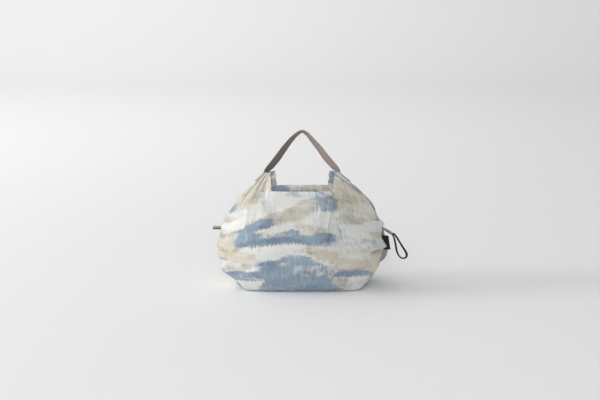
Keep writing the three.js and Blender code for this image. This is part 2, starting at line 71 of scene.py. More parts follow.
# The half widths to the four upright edges at each level. side is the height at the side edges,
# and middle the height of the same row at the middle of the panels.
WIDTHS = """
side middle frontLeft frontRight backLeft backRight
0 0 136 134 136 136
1 0.5 140 138 140 140
4 3.5 146 145 147 147
12 11 155 152 159 159
25 23.5 167 161 174 173
38 36 186 172 191 190
52 49 207 188 206 206
66 62 215 198 213 215
84 79 218 203 216 221
102 95.5 220 207 218 223
107 100 225 221 223 222
122 113.5 220 215 218 219
142 131 215 209.5 213 213.5
158 145 212 208.5 210 210
167 153 210.5 213 208 206
180 164.5 205 199 202 198
196 178.5 195 191 192 190
214 194 180.5 181 178 179
232 209 168 170.5 164 166
250 224 153 155 147 148
268 238 135 136 126 127
286 250.5 116 116 102 102
304 261 98 96 83 82
"""
# The depths of the side edges and of the panels' middles. recess is how far the gusset folds in,
# and square is how boxy the section is.
DEPTHS = """
side endFront endBack front back recess square
0 50 50 53 53 -10 8
1 54 54 59 59 -13 7.5
4 57 57 65 65 -16 6.5
12 58 58 72 71 -19 5
25 57 57 79 78 -17 4.2
38 54 54 84 83 -7 3.7
52 49 49 87.5 86 9 3.3
66 43 43 90 88 21 3
84 34 34 91.2 91.4 26 2.7
102 22 22 92.1 92.3 25 2.5
107 10 10 92.3 92.4 20 2.45
122 7.5 7.5 92.5 92.5 17 2.4
142 7 7 92.1 92 16 2.35
158 7.5 7.5 90.8 90.5 14 2.35
167 9 9 90 87.5 11 2.35
180 12 12 87 85 5 2.4
196 16 16 82 80 -1 2.45
214 18 18 75 73 -4 2.6
232 18 18 66.5 65 -4 2.9
250 16 17 57.5 56 -3 3.6
268 12 14 49.5 48.5 -2 4.8
286 10.5 13 44 43 -1 6.5
304 9.5 11 41 40.5 0 8
"""
# How far the cloth is drawn in as the rim is, and the depth beside the horns as a share.
GATHER = """
side drawn hornDepth
0 0 1
180 0 1
214 0.1 0.97
250 0.38 0.74
286 0.84 0.43
304 1 0.36
"""
MOUTH_END = 0.36
HORN_START = 0.58
RIM_SPREAD = ((0, 0), (MOUTH_END, 0.8), (HORN_START, 0.865), (1, 1))
RIM = 304.0  # the height of the rim at the side edges
HALF_CLOTH = 215.0


def mix(a, b, t):
    return a + (b - a) * t


def smooth(t):
    t = np.clip(t, 0, 1)
    return t * t * (3 - 2 * t)


def read_table(text):
    """The column names of a table, and its numbers as an array with a row for each line."""
    names, *lines = text.strip().split("\n")
    return names.split(), np.array([line.split() for line in lines], float)


def rows_of(text):
    """The rows of a table, each as a dict of its named numbers."""
    names, values = read_table(text)
    return [dict(zip(names, row)) for row in values.tolist()]


def curves(text):
    """A smooth curve through each named column of a table, against its first column."""
    names, values = read_table(text)
    x = values[:, 0]
    found = {}
    for name, y in zip(names, values.T):
        slope = np.diff(y) / np.diff(x)
        before = np.concatenate([slope[:1], slope])
        after = np.concatenate([slope, slope[-1:]])
        same = before * after > 0
        tangent = np.where(same, 2 * before * after / np.where(same, before + after, 1), 0)

        def curve(at, y=y, tangent=tangent):
            at = np.asarray(at, float)
            i = np.clip(np.searchsorted(x, at, side="left") - 1, 0, len(x) - 2)
            step = x[i + 1] - x[i]
            t = np.clip((at - x[i]) / step, 0, 1)
            start = (1 + 2 * t) * (1 - t) ** 2 * y[i] + t * (1 - t) ** 2 * step * tangent[i]
            end = t * t * (3 - 2 * t) * y[i + 1] + t * t * (t - 1) * step * tangent[i + 1]
            return start + end

        found[name] = curve
    return found


level = {**curves(WIDTHS), **curves(DEPTHS), **curves(GATHER)}

# Folds of the cloth: two tucks that overlap it, and soft troughs and ridges between two places.
# across is a share of half the cloth's width, and up is the height at the side edge.

TUCKS = rows_of("""
top bottom low full depth window overlap
-0.75 -0.66 115 205 5.5 0.085 1.9
0.355 0.315 75 200 6 0.09 2.2
""")
FRONT_FOLDS = rows_of("""
across up toAcross toUp wide rise
0.98 158 0.55 205 11 -5.9
0.97 145 0.45 160 12 3.9
0.97 128 0.55 100 11 -5.9
0.9 60 0.45 25 13 -4.5
-0.98 160 -0.74 196 11 -4.5
-0.97 132 -0.5 118 12 3.9
-0.97 108 -0.55 82 11 -6.5
-0.88 58 -0.5 22 12 -5.2
-0.3 6 -0.62 16 9 3.9
0.05 8 0.5 20 11 -3.9
-0.86 300 -0.9 215 8 -3.9
0.84 300 0.78 200 9 -4.5
0.66 300 0.6 215 8 3.2
""")
BACK_FOLDS = rows_of("""
across up toAcross toUp wide rise
0.97 160 0.5 210 12 -5.9
0.97 122 0.5 92 11 -5.9
-0.97 158 -0.55 200 11 -6.5
-0.97 125 -0.45 105 12 -5.2
-0.2 250 -0.35 150 14 -3.9
0.4 280 0.5 180 11 -5.2
-0.5 285 -0.6 190 10 -5.2
0.85 55 0.4 20 12 -4.5
""")
FINE_FRONT = rows_of("""
across up toAcross toUp wide rise
0.99 168 0.8 190 4 -4.1
0.99 160 0.72 172 4.5 3.4
0.99 150 0.68 148 4 -4.1
0.99 139 0.7 128 4.5 3.7
0.99 124 0.74 108 4 -4.1
0.99 112 0.8 92 4.5 3.4
-0.99 170 -0.82 184 4 -3.4
-0.99 158 -0.7 160 4.5 3.4
-0.99 146 -0.74 140 4 -4.1
-0.99 128 -0.68 112 4.5 3.4
-0.99 114 -0.8 98 4 -3.7
0.7 120 0.9 70 6 -3.4
-0.62 70 -0.86 40 6 -3.4
0.2 30 0.62 12 5 2.7
-0.1 14 -0.45 8 4 -2.4
0.1 61 0.6 66 3 1.4
-0.5 62 0.1 61 3 1.4
0.45 190 0.62 120 7 -3.4
-0.3 240 -0.5 170 9 -2.7
0.12 250 0.2 200 9 -2
""")
FINE_BACK = rows_of("""
across up toAcross toUp wide rise
0.99 166 0.74 186 4 -3.7
0.99 148 0.68 150 4.5 3.4
0.99 132 0.72 118 4 -3.7
-0.99 166 -0.78 188 4 -3.7
-0.99 152 -0.7 156 4.5 3.4
-0.99 130 -0.72 112 4 -3.7
-0.6 60 0.5 62 3 1.4
0.3 200 0.45 110 8 -3.4
-0.25 210 -0.1 120 8 -2.7
""")
# Small places where a seam bends away from the even line, as at the corners of the cuffs.
# face is -1 for the front and 1 for the back, and hand is -1 for the left and 1 for the right.
SEAM_BENDS = rows_of("""
face hand up wide out
-1 -1 73 8 -10
-1 1 176 4.5 4
-1 1 130 15 -5
1 1 62 29 8.5
""")
# Each wave of slack cloth is the product of two sine waves that cross.
WAVES = rows_of("""
strength across up phase crossAcross crossUp crossPhase
1 2.1 1.3 1 -0.9 1.7 2
0.6 4.3 -2.2 3 1.4 3.1 1
""")
WAVE = {"rise": 1.5, "across": 0.3, "up": 62.0}
FOLD_END = 0.25  # how strong a fold still is at its far end
FOLD_FADE = {"large": 0.12, "fine": 0.035, "floor": 12, "horn": 0.1}
TUCK = {
    "settled": 240,  # the height where its line is upright
    "span": 0.6,  # the soft step's share of its window
    "rim": 0.4,  # how strong the step still is at the rim
    "steep": 2.2,  # how abrupt the step is
    "layer": 1.3,  # how far its layers lie apart
    "lap": 0.55,  # where they start, before its line
    "past": 0.5,  # where they thin out, past it
}
HEM = {"middle": 20.0, "horn": 12.0, "rise": 0.5, "edge": 1.5}
PLEATS = {"count": 3.5, "rise": 2.0, "low": 205.0, "phase": 0.9, "growth": 1.6}
PLEAT_ENDS = {"mouth": 0.06, "seam": 0.05}
RUFFLE = {"rise": 2.2, "waves": 2.6, "low": 250.0, "past": 0.1}
GUSSET_CREASE = 1.25  # 1 is a sharp fold inward, and 2 a round one
RIPPLE_FADE = {"seam": 0.25, "floor": 15}
RIPPLES = ({"rise": 0.9, "up": 9.5, "across": 2.2}, {"rise": 0.7, "up": 21, "across": -3.1})
GUSSET_PLEATS = {"rise": 1.1, "low": 215, "waves": 2.5, "phase": 0.4, "seam": 0.2}
PANELS = {
    -1: {"depth": "front", "end": "endFront", "phase": 0.4},
    1: {"depth": "back", "end": "endBack", "phase": 1.9},
}
PANELS[-1] |= {"tucks": TUCKS, "folds": FRONT_FOLDS, "fine_folds": FINE_FRONT}
PANELS[1] |= {"tucks": [], "folds": BACK_FOLDS, "fine_folds": FINE_BACK}


def rim_spread(share):
    """Where a place across the cloth lies across the rim, as a share of the rim's half width."""
    cloth, rim = zip(*RIM_SPREAD)
    return np.interp(share, cloth, rim)


def horn_share(share):
    """From 0 over the dipped mouth to 1 under the horn, at a place across the cloth."""
    return smooth((share - MOUTH_END) / (HORN_START - MOUTH_END))


def tuck_line(tuck, up):
    rise = smooth((up - tuck["low"]) / (TUCK["settled"] - tuck["low"]))
    return mix(tuck["bottom"], tuck["top"], rise)


def tuck_strength(tuck, up):
    return smooth((up - tuck["low"]) / (tuck["full"] - tuck["low"]))


def overlapped(across, up, tucks):
    """The cloth's place across once its tucks have folded it back over itself."""
    placed = across.copy()
    for tuck in tucks:
        t = (across - tuck_line(tuck, up)) / tuck["window"]
        back = tuck["overlap"] * tuck_strength(tuck, up) / math.pi
        placed -= np.where(np.abs(t) < 1, tuck["window"] * back * np.sin(math.pi * t), 0)
    return placed


def tuck_rise(tuck, across, up):
    """The soft step beside a tuck, and the thickness of the layers in it."""
    t = (across - tuck_line(tuck, up)) / (TUCK["span"] * tuck["window"])
    fade = mix(1, TUCK["rim"], smooth((up - tuck["full"]) / (RIM - tuck["full"])))
    step = np.tanh(TUCK["steep"] * t) * np.exp(-0.5 * t * t)
    lap = smooth((t + TUCK["lap"]) / (2 * TUCK["lap"]))
    layers = TUCK["layer"] * (lap * 2 * np.exp(-(np.maximum(t - TUCK["past"], 0) ** 2)))
    return tuck_strength(tuck, up) * (fade * tuck["depth"] * step + layers)


def fold_rise(fold, across, up):
    """How far a soft fold stands out: it is widest and strongest along its line."""
    start = fold["across"] * HALF_CLOTH
    dx = fold["toAcross"] * HALF_CLOTH - start
    dy = fold["toUp"] - fold["up"]
    px = across * HALF_CLOTH - start
    py = up - fold["up"]
    along = np.clip((px * dx + py * dy) / (dx * dx + dy * dy), 0, 1)
    away = np.hypot(px - along * dx, py - along * dy) / fold["wide"]
    return fold["rise"] * mix(1, FOLD_END, along) * np.exp(-away * away)


def folds_rise(folds, across, up):
    return sum(fold_rise(fold, across, up) for fold in folds)


def fold_fade(kind, share, up, drawn):
    """How strong folds of a kind are: none at the seams and the floor, and faint at the horns."""
    fade = smooth((1 - share) / FOLD_FADE[kind]) * smooth(up / FOLD_FADE["floor"])
    return fade * mix(1, FOLD_FADE["horn"], drawn * horn_share(share))


def slack_waves(across, up, phase):
    """Long uneven waves of slack cloth."""
    x = across / WAVE["across"]
    y = up / WAVE["up"]
    total = 0
    for wave in WAVES:
        one = np.sin(wave["across"] * x + wave["up"] * y + wave["phase"] * phase)
        other = np.sin(wave["crossAcross"] * x + wave["crossUp"] * y + wave["crossPhase"] * phase)
        total = total + wave["strength"] * one * other
    return WAVE["rise"] * total


def gathers(face, share, up):
    """Gathers that run down from the horns and die out."""
    strength = smooth((up - PLEATS["low"]) / (RIM - PLEATS["low"])) ** PLEATS["growth"]
    ends = smooth((share - MOUTH_END) / PLEAT_ENDS["mouth"]) * smooth((1 - share) / PLEAT_ENDS["seam"])
    turn = 2 * math.pi * PLEATS["count"] * (share - MOUTH_END) / (1 - MOUTH_END)
    return PLEATS["rise"] * strength * ends * np.sin(turn + PLEATS["phase"] * face)


def ruffle(share, up):
    """The slack of the back's rim, which runs to and fro between the mouth and the horns."""
    wave = np.sin(2 * math.pi * RUFFLE["waves"] * (share - MOUTH_END) / (HORN_START - MOUTH_END))
    edge = np.where(share < HORN_START + RUFFLE["past"], horn_share(share), 0)
    return RUFFLE["rise"] * smooth((up - RUFFLE["low"]) / (RIM - RUFFLE["low"])) * edge * wave


def hem_line(across):
    """The height on the side edge's scale of the hem's lower line, at each place across."""
    return RIM - mix(HEM["middle"], HEM["horn"], horn_share(np.abs(across)))


def seam_half(face, hand, up):
    """Half the bag's width at a seam, on one face and one side."""
    half = level[("front" if face < 0 else "back") + ("Left" if hand < 0 else "Right")](up)
    for bend in SEAM_BENDS:
        if bend["face"] == face and bend["hand"] == hand:
            half = half + bend["out"] * np.exp(-(((up - bend["up"]) / bend["wide"]) ** 2))
    return half


def panel_points(face, across, up):
    """Points of the front (face -1) or the back (face 1), in millimetres."""
    panel = PANELS[face]
    placed = overlapped(across, up, panel["tucks"])
    share = np.abs(placed)
    rise = horn_share(share)
    drawn = level["drawn"](up)
    spread = mix(share, rim_spread(share), drawn)
    end = level[panel["end"]](up)
    depth = level[panel["depth"]](up) * mix(1, level["hornDepth"](up), rise)
    out = end + (depth - end) * (1 - np.clip(spread, 0, 1) ** level["square"](up))
    relief = folds_rise(panel["folds"], across, up) + slack_waves(across, up, panel["phase"])
    for tuck in panel["tucks"]:
        relief = relief + tuck_rise(tuck, across, up)
    out = out + fold_fade("large", share, up, drawn) * relief
    fine = folds_rise(panel["fine_folds"], across, up)
    out = out + fold_fade("fine", share, up, drawn) * fine
    out = out + HEM["rise"] * smooth((up - hem_line(across)) / HEM["edge"] + 0.5)
    out = out + gathers(face, share, up)
    half = np.where(placed < 0, seam_half(face, -1, up), seam_half(face, 1, up))
    x = np.sign(placed) * half * spread
    if face > 0:
        x = x + np.sign(placed) * ruffle(share, up)
    z = mix(level["middle"](up), up, rise)
    return np.stack([x, face * out, z], -1)


def gusset_points(hand, t, up):
    """Points of the left (hand -1) or right gusset. t runs from -1 at the front to 1 at the back."""
    share = (t + 1) / 2
    edge = mix(seam_half(-1, hand, up), seam_half(1, hand, up), share)
    fold = level["recess"](up)
    inward = np.where(fold > 0, fold * (1 - np.abs(t) ** GUSSET_CREASE), fold * (1 - t * t))
    y = mix(-level["endFront"](up), level["endBack"](up), share)
    quick, slow = RIPPLES
    ripple = quick["rise"] * np.sin(up / quick["up"] + quick["across"] * t + hand)
    ripple = ripple + slow["rise"] * np.sin(up / slow["up"] + slow["across"] * t)
    fade = smooth((1 - np.abs(t)) / RIPPLE_FADE["seam"]) * smooth(up / RIPPLE_FADE["floor"])
    inward = inward + fade * ripple
    turn = GUSSET_PLEATS["waves"] * math.pi * (t + 1) + GUSSET_PLEATS["phase"]
    pleat = smooth((up - GUSSET_PLEATS["low"]) / (RIM - GUSSET_PLEATS["low"])) * np.sin(turn)
    fade = smooth((1 - np.abs(t)) / GUSSET_PLEATS["seam"])
    inward = inward + GUSSET_PLEATS["rise"] * fade * pleat
    return np.stack([hand * (edge - inward), y, up], -1)


def base_points(across, t):
    """Points of the base, between the feet of the front (t -1) and the back (t 1)."""
    zero = np.zeros_like(across)
    front = panel_points(-1, across, zero)
    back = panel_points(1, across, zero)
    p = mix(front, back, ((t + 1) / 2)[..., None])
    p[..., 0] -= np.sign(across) * np.abs(across) ** 3 * level["recess"](0) * (1 - t * t)
    return p


# Meshes from grids


def new_object(name, points, faces, uv=None):
    """An object from points in millimetres. uv is a pair in metres for each point."""
    mesh = bpy.data.meshes.new(name)
    mesh.from_pydata((points.reshape(-1, 3) * MM).tolist(), [], faces)
    if uv is not None:
        layer = mesh.uv_layers.new(name="cloth")
        corners = np.empty(len(mesh.loops), int)
        mesh.loops.foreach_get("vertex_index", corners)
        layer.data.foreach_set("uv", uv.reshape(-1, 2)[corners].ravel())
    mesh.shade_smooth()
    obj = bpy.data.objects.new(name, mesh)
    bpy.context.scene.collection.objects.link(obj)
    return obj


def grid_faces(rows, columns, flip=False):
    """The quads between the points of a grid, row by row."""
    i, j = np.meshgrid(np.arange(rows - 1), np.arange(columns - 1), indexing="ij")
    a = (i * columns + j).ravel()
    quads = np.stack([a, a + columns, a + columns + 1, a + 1], -1)
    return (quads[:, ::-1] if flip else quads).tolist()


DRAWN_IN = 0.5  # the share of the gathered cloth's print that is squeezed and not hidden


def cloth_lengths(grid, floor_row):
    """Lengths along the cloth from its middle column and up from one row, in metres."""
    across = np.linalg.norm(np.diff(grid, axis=1), axis=-1)
    u = np.concatenate([np.zeros((len(grid), 1)), np.cumsum(across, 1)], 1)
    u -= u[:, [grid.shape[1] // 2]]
    widest = np.argmax(u[:, -1] - u[:, 0])
    u = mix(u, u[[widest]], DRAWN_IN)
    along = np.linalg.norm(np.diff(grid, axis=0), axis=-1)
    v = np.concatenate([np.zeros((1, grid.shape[1])), np.cumsum(along, 0)], 0)
    v = v[[floor_row]] - v
    return np.stack([u, v], -1) * MM


def finish_modifiers(obj):
    """Applies the modifiers of a piece, so that its mesh is the shape that is seen."""
    graph = bpy.context.evaluated_depsgraph_get()
    mesh = bpy.data.meshes.new_from_object(obj.evaluated_get(graph))
    obj.modifiers.clear()
    obj.data = mesh


def face_out(obj):
    """Turns a closed piece's faces to point outwards."""
    shape = bmesh.new()
    shape.from_mesh(obj.data)
    if shape.calc_volume(signed=True) < 0:
        obj.data.flip_normals()
    shape.free()


def fit(obj, node, finish):
    """Gives a piece its finish, and rides it in the place of its solid."""
    obj.data.materials.append(finish)
    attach(obj, "root")
    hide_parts(node)


def thicken(obj, thickness, offset):
    """Gives a sheet its thickness, on its inner side for offset -1, or on both sides for 0."""
    solid = obj.modifiers.new("thickness", "SOLIDIFY")
    solid.thickness = thickness * MM
    solid.offset = offset
    finish_modifiers(obj)


CLOTH = 0.5  # millimetres thick
COLUMNS = {"even": 117, "beside_seam": 22, "in_tuck": 28}
COLUMN_ZONES = {"seam": 0.8, "tuck_margin": 0.03, "nearest": 0.002}
ROW_STEPS = {"front": (3.2, 2.2), "back": (3.6, 3.2)}  # over the panels and beside the cuffs
BASE_ROWS = 12
GUSSET_COLUMNS = 25


def spaced(start, end, step):
    """Even places from start to end, about a step apart."""
    return np.linspace(start, end, max(2, int(round(abs(end - start) / step)) + 1))


def across_places():
    """Columns of the cloth, closer together in the tucks' folds and towards the seams."""
    zone = COLUMN_ZONES["seam"]
    runs = [(-1, 1, COLUMNS["even"])]
    runs += [(zone, 1, COLUMNS["beside_seam"]), (-1, -zone, COLUMNS["beside_seam"])]
    for tuck in TUCKS:
        reach = tuck["window"] + COLUMN_ZONES["tuck_margin"]
        middle = (tuck["top"] + tuck["bottom"]) / 2
        runs.append((middle - reach, middle + reach, COLUMNS["in_tuck"]))
    places = sorted({place for run in runs for place in np.round(np.linspace(*run), 5)})
    gaps = np.diff(places, append=np.inf)
    return np.array(places)[gaps > COLUMN_ZONES["nearest"]]


def level_places(step, cuff_step):
    """Levels of a face from its foot to its rim, closer together beside the cuffs."""
    foot = [0, 0.5, 1.2, 2.2, 4, 6, 8.5, 12]
    below = spaced(15, 88, step)
    cuff = spaced(90, 185, cuff_step)
    above = spaced(188, 300, step)
    rim = [301.5, 303, RIM]
    return np.concatenate([foot, below, cuff, above, rim])


def make_sheet(name, node, grid, lengths):
    """A sheet of the printed cloth. Its flat size is its mean width and its longest run."""
    obj = new_object(name, grid, grid_faces(*grid.shape[:2]), lengths)
    thicken(obj, CLOTH, -1)
    fit(obj, node, print_cloth)


def make_bag_cloth():
    across = across_places()
    levels = level_places(*ROW_STEPS["front"])
    front = panel_points(-1, *np.meshgrid(across, levels))
    back = panel_points(1, *np.meshgrid(across, level_places(*ROW_STEPS["back"])))
    base_grid = np.meshgrid(across, np.linspace(-1, 1, BASE_ROWS)[1:-1])
    grid = np.concatenate([front[::-1], base_points(*base_grid), back])
    lengths = cloth_lengths(grid, len(levels) - 1) + PRINT_AT["body"]
    make_sheet("bag_body_cloth", "bag_cloth", grid, lengths)


def make_gusset(side):
    hand = -1 if side == "left" else 1
    levels = level_places(*ROW_STEPS["front"])
    t, up = np.meshgrid(np.linspace(-1, 1, GUSSET_COLUMNS) * hand, levels[::-1])
    grid = gusset_points(hand, t, up)
    lengths = cloth_lengths(grid, len(levels) - 1) + PRINT_AT[side]
    make_sheet("gusset_cloth_" + side, "gusset_" + side, grid, lengths)


# Bands: the handle, the tabs, the elastic and the label

HANDLE = """
x y z turn
90.5 2.5 308 34
83 1.5 316 45
63 -1 339 48
43 -1 366 42
24 -1 389 34
13 -1 401.5 28
0 -1 410 25
-14 -1 403 28
-31 -1 386 35
-50 -1 361 43
-67 -1 337 48
-84 1.5 316 45
-91.5 2.5 308 34
"""
ELASTIC_LOOP = """
x y z turn
235.5 -1 141 35
241 -2 136.5 37
247 -3 129 39
255.5 -4 115 39
264 -5 101.5 45
271.5 -5 89 60
273.5 -4 81 73
270 -3 74.5 60
263 -1 72.5 45
255 0 77 40
248.5 1 88.5 43
245 1 104 47
242 1 119 43
238.5 1 130.5 37
234 1 137 31
"""
WEBBING = {"width": 25.0, "thick": 1.6, "lift": 0.9}
ELASTIC = {"width": 6.5, "thick": 1.2}
LINE_STEP = 0.02  # the step along each part of a line between two points of its table
SEWN_PROBE = 4  # millimetres up and down that find the way a sewn end runs
SEWN_LEAN = 0.5  # how much of the gusset's lean to the front or back a sewn end takes
BAND_COLUMNS = 9
BAND_EDGE_STEPS = 6


def unit(vectors):
    return vectors / np.linalg.norm(vectors, axis=-1, keepdims=True)


def run_lengths(points):
    """The length along a line of points, up to each of them."""
    return np.concatenate([[0], np.cumsum(np.linalg.norm(np.diff(points, axis=0), axis=1))])


def line_stations(text, step):
    """Evenly spaced stations (point, width, normal) on a smooth line through a table's points."""
    table = read_table(text)[1]
    points, turns = table[:, :3], table[:, 3]
    padded = np.concatenate([[2 * points[0] - points[1]], points, [2 * points[-1] - points[-2]]])
    roots = np.sqrt(np.linalg.norm(np.diff(padded, axis=0), axis=1))
    dense, turn = [], []
    for i in range(len(points) - 1):
        p0, p1, p2, p3 = padded[i : i + 4]
        d0, d1, d2 = roots[i : i + 3]
        m1 = ((p1 - p0) / d0 - (p2 - p0) / (d0 + d1) + (p2 - p1) / d1) * d1
        m2 = ((p2 - p1) / d1 - (p3 - p1) / (d1 + d2) + (p3 - p2) / d2) * d1
        for t in np.arange(0, 1, LINE_STEP):
            cubic = (2 * t**3 - 3 * t**2 + 1) * p1 + (t**3 - 2 * t**2 + t) * m1
            dense.append(cubic + (-2 * t**3 + 3 * t**2) * p2 + (t**3 - t**2) * m2)
            turn.append(mix(turns[i], turns[i + 1], float(smooth(t))))
    dense = np.array(dense + [points[-1]])
    turn = np.array(turn + [turns[-1]])
    length = run_lengths(dense)
    at = spaced(0, length[-1], step)
    centre = np.stack([np.interp(at, length, dense[:, k]) for k in range(3)], -1)
    angle = np.radians(np.interp(at, length, turn))[:, None]
    tangent = unit(np.gradient(centre, axis=0))
    level_width = unit(np.array([0, 1, 0]) - tangent * tangent[:, 1:2])
    width = level_width * np.cos(angle) + np.cross(tangent, level_width) * np.sin(angle)
    return centre, width, np.cross(tangent, width)


def sewn_stations(hand, sides):
    """Stations of a strap's end that lies on the outside of a gusset."""
    sides = np.asarray(sides, float)
    zero = np.zeros_like(sides)
    centre = gusset_points(hand, zero, sides)
    along = gusset_points(hand, zero, sides + SEWN_PROBE)
    along -= gusset_points(hand, zero, sides - SEWN_PROBE)
    along[:, 1] *= SEWN_LEAN
    along = unit(along)
    width = gusset_points(hand, zero + 1, sides) - gusset_points(hand, zero - 1, sides)
    width = unit(width - along * (width * along).sum(1, keepdims=True))
    normal = np.cross(along, width)
    lift = WEBBING["lift"] + WEBBING["thick"] / 2
    return centre - hand * normal * lift, width, normal


def band_section(width, thick):
    """The outline of a woven band with rounded edges, as (across, above) pairs."""
    radius = thick / 2
    half = width / 2 - radius
    top = [(x, radius) for x in np.linspace(-half, half, BAND_COLUMNS)]
    turns = np.linspace(0, math.pi, BAND_EDGE_STEPS + 1)[1:-1]
    right = [(half + radius * math.sin(a), radius * math.cos(a)) for a in turns]
    return np.array(top + right + [(-x, -y) for x, y in top + right])


def make_band(name, stations, width, thick):
    """A closed band mesh along its stations, with lengths along and across it as its UV map."""
    centre, across, normal = stations
    section = band_section(width, thick)
    offsets = across[:, None] * section[:, :1] + normal[:, None] * section[:, 1:]
    points = centre[:, None] + offsets
    uv = np.stack(np.meshgrid(run_lengths(centre), run_lengths(section), indexing="ij"), -1)
    ring, last = len(section), len(centre) - 1
    start = np.arange(ring)
    after = np.roll(start, -1)
    quads = np.stack([start, start + ring, after + ring, after], -1)
    sides = (quads + ring * np.arange(last)[:, None, None]).reshape(-1, 4)
    faces = sides.tolist() + [start.tolist(), (start + last * ring)[::-1].tolist()]
    obj = new_object(name, points, faces, uv * MM)
    face_out(obj)
    return obj


HANDLE_STEP = 3
SEWN_SIDES = (278, 282, 286, 290, 294, 298)  # heights of the stations of a sewn end
ELASTIC_STEP = 1.5


def make_handle():
    centre, width, normal = line_stations(HANDLE, HANDLE_STEP)
    right = sewn_stations(1, SEWN_SIDES)
    left = sewn_stations(-1, SEWN_SIDES[::-1])
    stations = (
        np.concatenate([right[0], centre, left[0]]),
        np.concatenate([right[1], width, left[1]]),
        np.concatenate([right[2], normal, -left[2]]),
    )
    obj = make_band("webbing_handle", stations, WEBBING["width"], WEBBING["thick"])
    fit(obj, "handle_strap", webbing)


def make_elastic():
    stations = line_stations(ELASTIC_LOOP, ELASTIC_STEP)
    obj = make_band("elastic_band", stations, ELASTIC["width"], ELASTIC["thick"])
    fit(obj, "elastic_loop", elastic)


TABS = {
    "left": {"x": -213.3, "z": 155, "length": 20.7, "droop": -2, "gap": 2.4},
    "right": {"x": 213.15, "z": 152, "length": 23.8, "droop": 31, "gap": 1.6},
}
TAB = {"width": 20.0, "thick": 1.3, "sunk": 5.0, "pinch": 14, "step": 1.6}


def tab_stations(tab):
    """Stations of webbing folded double round its tip, from the top root to the bottom root."""
    hand = 1 if tab["x"] > 0 else -1
    radius = (tab["gap"] + TAB["thick"]) / 2
    reach = tab["length"] - radius - TAB["thick"] / 2
    straight = spaced(-TAB["sunk"], reach, TAB["step"])
    turn = np.radians(np.linspace(90, -90, 11)[1:-1])
    half = mix(0.5 * TAB["thick"], radius, smooth((straight + TAB["sunk"]) / TAB["pinch"]))
    x = np.concatenate([straight, reach + radius * np.cos(turn), straight[::-1]])
    z = np.concatenate([half, radius * np.sin(turn), -half[::-1]])
    droop = math.radians(tab["droop"])
    px = tab["x"] + hand * (x * math.cos(droop) + z * math.sin(droop))
    pz = tab["z"] + (-x * math.sin(droop) + z * math.cos(droop))
    centre = np.stack([px, np.zeros_like(px), pz], -1)
    width = np.zeros_like(centre) + (0, 1, 0)
    return centre, width, np.cross(unit(np.gradient(centre, axis=0)), width)


def make_tab(side):
    obj = make_band("webbing_tab_" + side, tab_stations(TABS[side]), TAB["width"], TAB["thick"])
    fit(obj, "pull_tab_" + side, webbing)


LABEL = {"top": 135.0, "bottom": 97.0, "y": -3.5, "width": 17.8, "thick": 0.25, "curl": 0.9}
LABEL_OUT = {"top": 224.5, "bottom": 230.5}  # how far out its folded edge is
LABEL_GAP = {"fold": 0.25, "middle": 0.35}  # how far its two layers stand off their middle


def make_label():
    """A bare woven tape folded at its outer edge, with a slight curl."""
    there = np.linspace(0, 1, 9)
    there_and_back = np.concatenate([there, there[::-1]])
    rise, out = np.meshgrid(np.linspace(0, 1, 20), there_and_back, indexing="ij")
    layer = np.broadcast_to(np.repeat([1.0, -1.0], len(there)), rise.shape)
    gap = LABEL_GAP["fold"] + LABEL_GAP["middle"] * np.sin(math.pi * out)
    x = mix(LABEL_OUT["bottom"], LABEL_OUT["top"], rise) + LABEL["width"] * (out - 1)
    z = mix(LABEL["bottom"], LABEL["top"], rise)
    y = LABEL["y"] + layer * gap + LABEL["curl"] * np.sin(2.4 * rise + 0.4) * out * out
    grid = np.stack([x, y, z], -1)
    uv = np.stack([out * LABEL["width"], z], -1) * MM
    obj = new_object("bare_label", grid, grid_faces(*grid.shape[:2]), uv)
    thicken(obj, LABEL["thick"], 0)
    face_out(obj)
    fit(obj, "label", label_tape)


# Node trees


def put(tree, socket, value):
    """Links a socket to another one, or sets its value."""
    if isinstance(value, bpy.types.NodeSocket):
        tree.links.new(value, socket)
    elif isinstance(value, tuple) and len(value) == 3 and len(socket.default_value) == 4:
        socket.default_value = (*value, 1)
    else:
        socket.default_value = value


def add_node(tree, kind, inputs, output=0, **settings):
    """Adds a node, and returns one of its outputs, or all of them for output=None."""
    node = tree.nodes.new(kind)
    for name, value in settings.items():
        setattr(node, name, value)
    for name, value in inputs.items():
        put(tree, node.inputs[name], value)
    return node.outputs if output is None else node.outputs[output]


# Stitches

# The pitch and the size of the stitches, in millimetres, as inputs of their node tree.
STITCH = {"Pitch": 3.0, "Length": 2.1, "Thread": 0.5}
BARTACK = {"Pitch": 1.3, "Length": 1.1, "Thread": 0.6}


